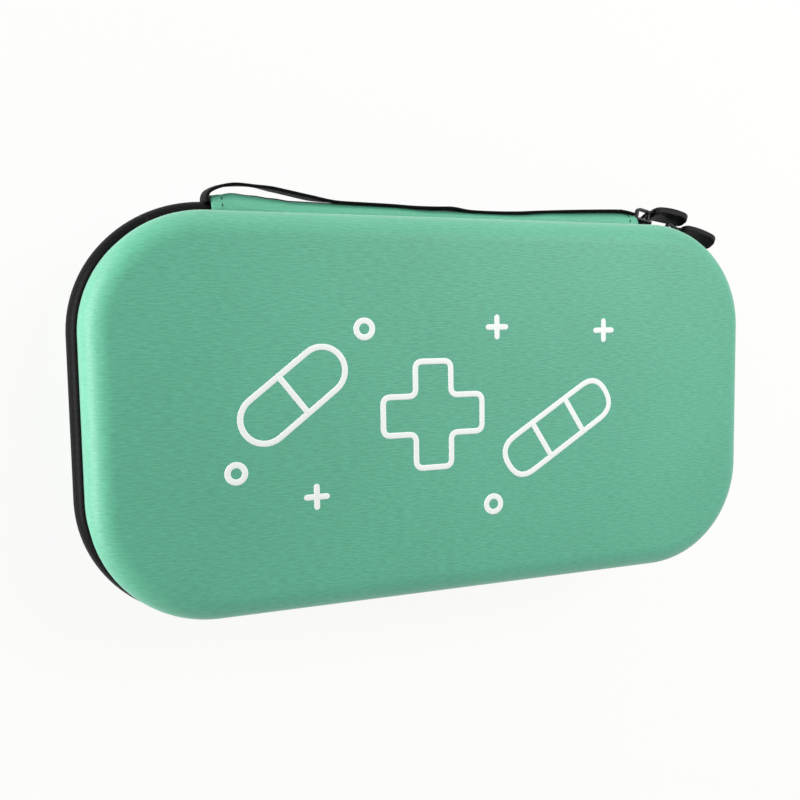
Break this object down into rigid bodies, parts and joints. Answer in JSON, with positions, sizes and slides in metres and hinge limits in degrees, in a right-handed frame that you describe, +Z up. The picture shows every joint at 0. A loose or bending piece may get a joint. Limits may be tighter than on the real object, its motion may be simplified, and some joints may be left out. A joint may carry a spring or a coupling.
{
  "type": "zipped stethoscope hard case",
  "caption": "Moulded hard case with rounded corners, a round zipper band, a fabric hinge strip and a webbing handle; the lid opens flat.",
  "frame": {"origin": "middle of the base shell's flat resting face", "axes": "+Z up out of the lid's big face, +X along the length, +Y to the hinge and handle side"},
  "size_m": [0.2942, 0.1711, 0.066],
  "materials": {
    "mint_fabric": "fine ribbed fabric, satin",
    "lining_fabric": "brushed knit, matt",
    "black_tape": "woven, satin",
    "zip_coil": "moulded nylon",
    "stop_plastic": "moulded",
    "webbing": "flat woven webbing",
    "black_casting": "baked black enamel",
    "pull_wire": "baked black enamel",
    "pull_rubber": "moulded, satin",
    "net": "knitted net",
    "elastic": "ribbed elastic",
    "hook_loop": "hook and loop pile"
  },
  "bodies": {
    "base": {"base_shell": "mint_fabric", "base_lining": "lining_fabric", "base_binding": "black_tape", "base_zip_tape": "black_tape", "base_zip_coil": "zip_coil", "strap_loop_half": "elastic", "strap_hook_half": "elastic", "loop_patch": "hook_loop", "hook_patch": "hook_loop"},
    "spine": {"hinge_strip": "mint_fabric", "hinge_liner": "lining_fabric", "zip_end_left": "black_tape", "zip_end_right": "black_tape", "zip_stop": "stop_plastic", "handle_webbing": "webbing", "slider_a": "black_casting"},
    "lid": {"lid_shell": "mint_fabric", "lid_lining": "lining_fabric", "lid_binding": "black_tape", "lid_zip_tape": "black_tape", "lid_zip_coil": "zip_coil", "pocket_net": "net", "pocket_edge_tape": "black_tape", "pocket_hem": "elastic"},
    "slider_b": {"slider_b": "black_casting"},
    "pull_a": {"pull_link_a": "pull_wire", "pull_tab_a": "pull_rubber"},
    "pull_b": {"pull_link_b": "pull_wire", "pull_tab_b": "pull_rubber"}
  },
  "joints": [
    {"name": "spine_fold", "type": "hinge", "parent": "base", "child": "spine", "pos_m": [0, 0.077, 0.027], "axis": [-1, 0, 0], "range_deg": [0, 90]},
    {"name": "lid_fold", "type": "hinge", "parent": "spine", "child": "lid", "pos_m": [0, 0.077, 0.04], "axis": [-1, 0, 0], "range_deg": [0, 90]},
    {"name": "slider_travel", "type": "hinge", "parent": "base", "child": "slider_b", "pos_m": [0.0965, 0.031, 0.0335], "axis": [0, 0, -1], "range_deg": [0, 50]},
    {"name": "pull_a_swing", "type": "hinge", "parent": "spine", "child": "pull_a", "pos_m": [0.10989, 0.08365, 0.0335], "axis": [0, 0, 1], "range_deg": [0, 80]},
    {"name": "pull_b_swing", "type": "hinge", "parent": "slider_b", "child": "pull_b", "pos_m": [0.12626, 0.07618, 0.0335], "axis": [0, 0, 1], "range_deg": [-20, 8]}
  ],
  "couplings": [
    {"joint": "spine_fold", "follows": "lid_fold", "ratio": 1}
  ]
}
